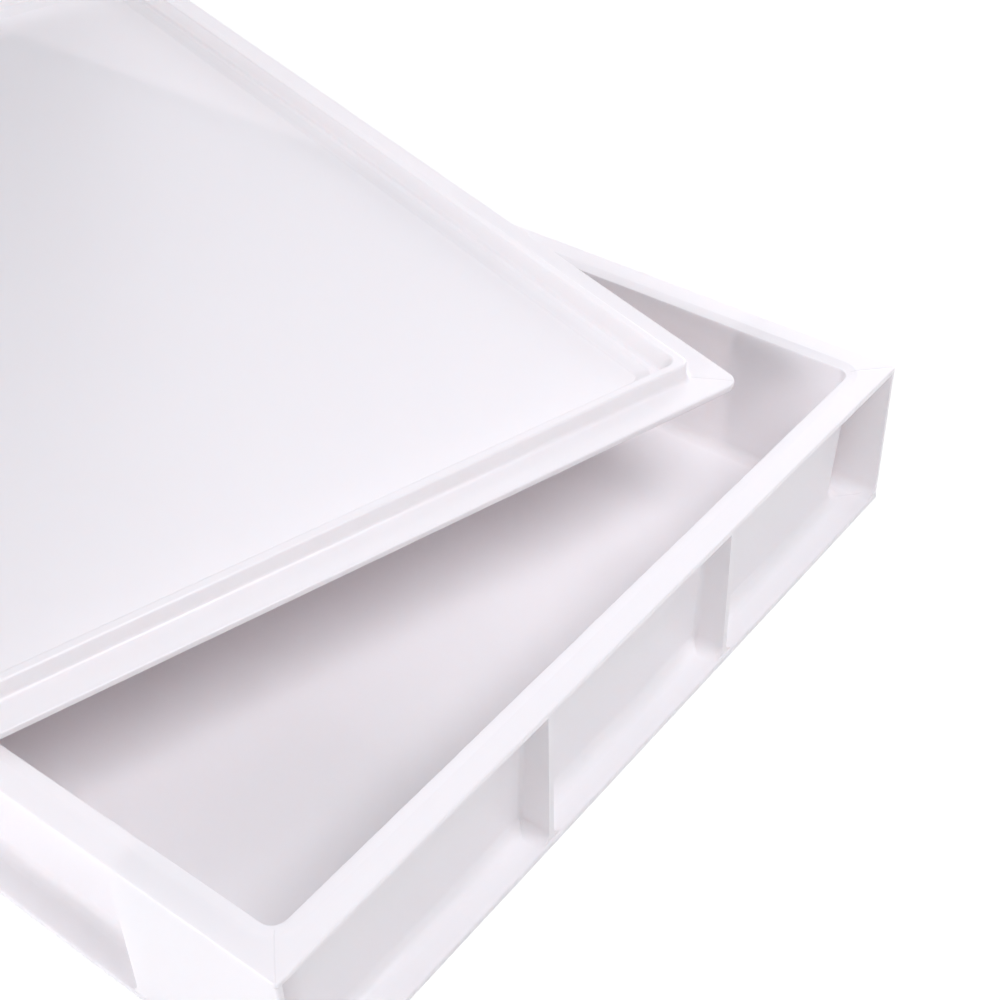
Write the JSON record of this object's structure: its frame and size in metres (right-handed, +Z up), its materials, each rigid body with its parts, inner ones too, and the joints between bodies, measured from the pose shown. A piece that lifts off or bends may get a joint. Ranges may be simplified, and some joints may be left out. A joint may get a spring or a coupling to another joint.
{
  "type": "dough proofing tray",
  "caption": "Shallow rectangular white plastic dough tray with ribbed open channels round its outside and a flat lift-off lid lying askew on its rim.",
  "frame": {"origin": "middle of the plane that the tray stands on", "axes": "+X along the tray's long side, +Y along its short side, +Z up out of the tray's mouth"},
  "size_m": [0.7337, 0.5518, 0.0891],
  "materials": {
    "tray_plastic": "satin white polyethylene",
    "lid_plastic": "satin white polyethylene"
  },
  "bodies": {
    "tray": {"tray": "tray_plastic"},
    "lid": {"lid": "lid_plastic"}
  },
  "joints": [
    {"name": "lid_lift", "type": "slide", "parent": "tray", "child": "lid", "axis": [0, 0, 1], "range_m": [0, 0.15]}
  ]
}
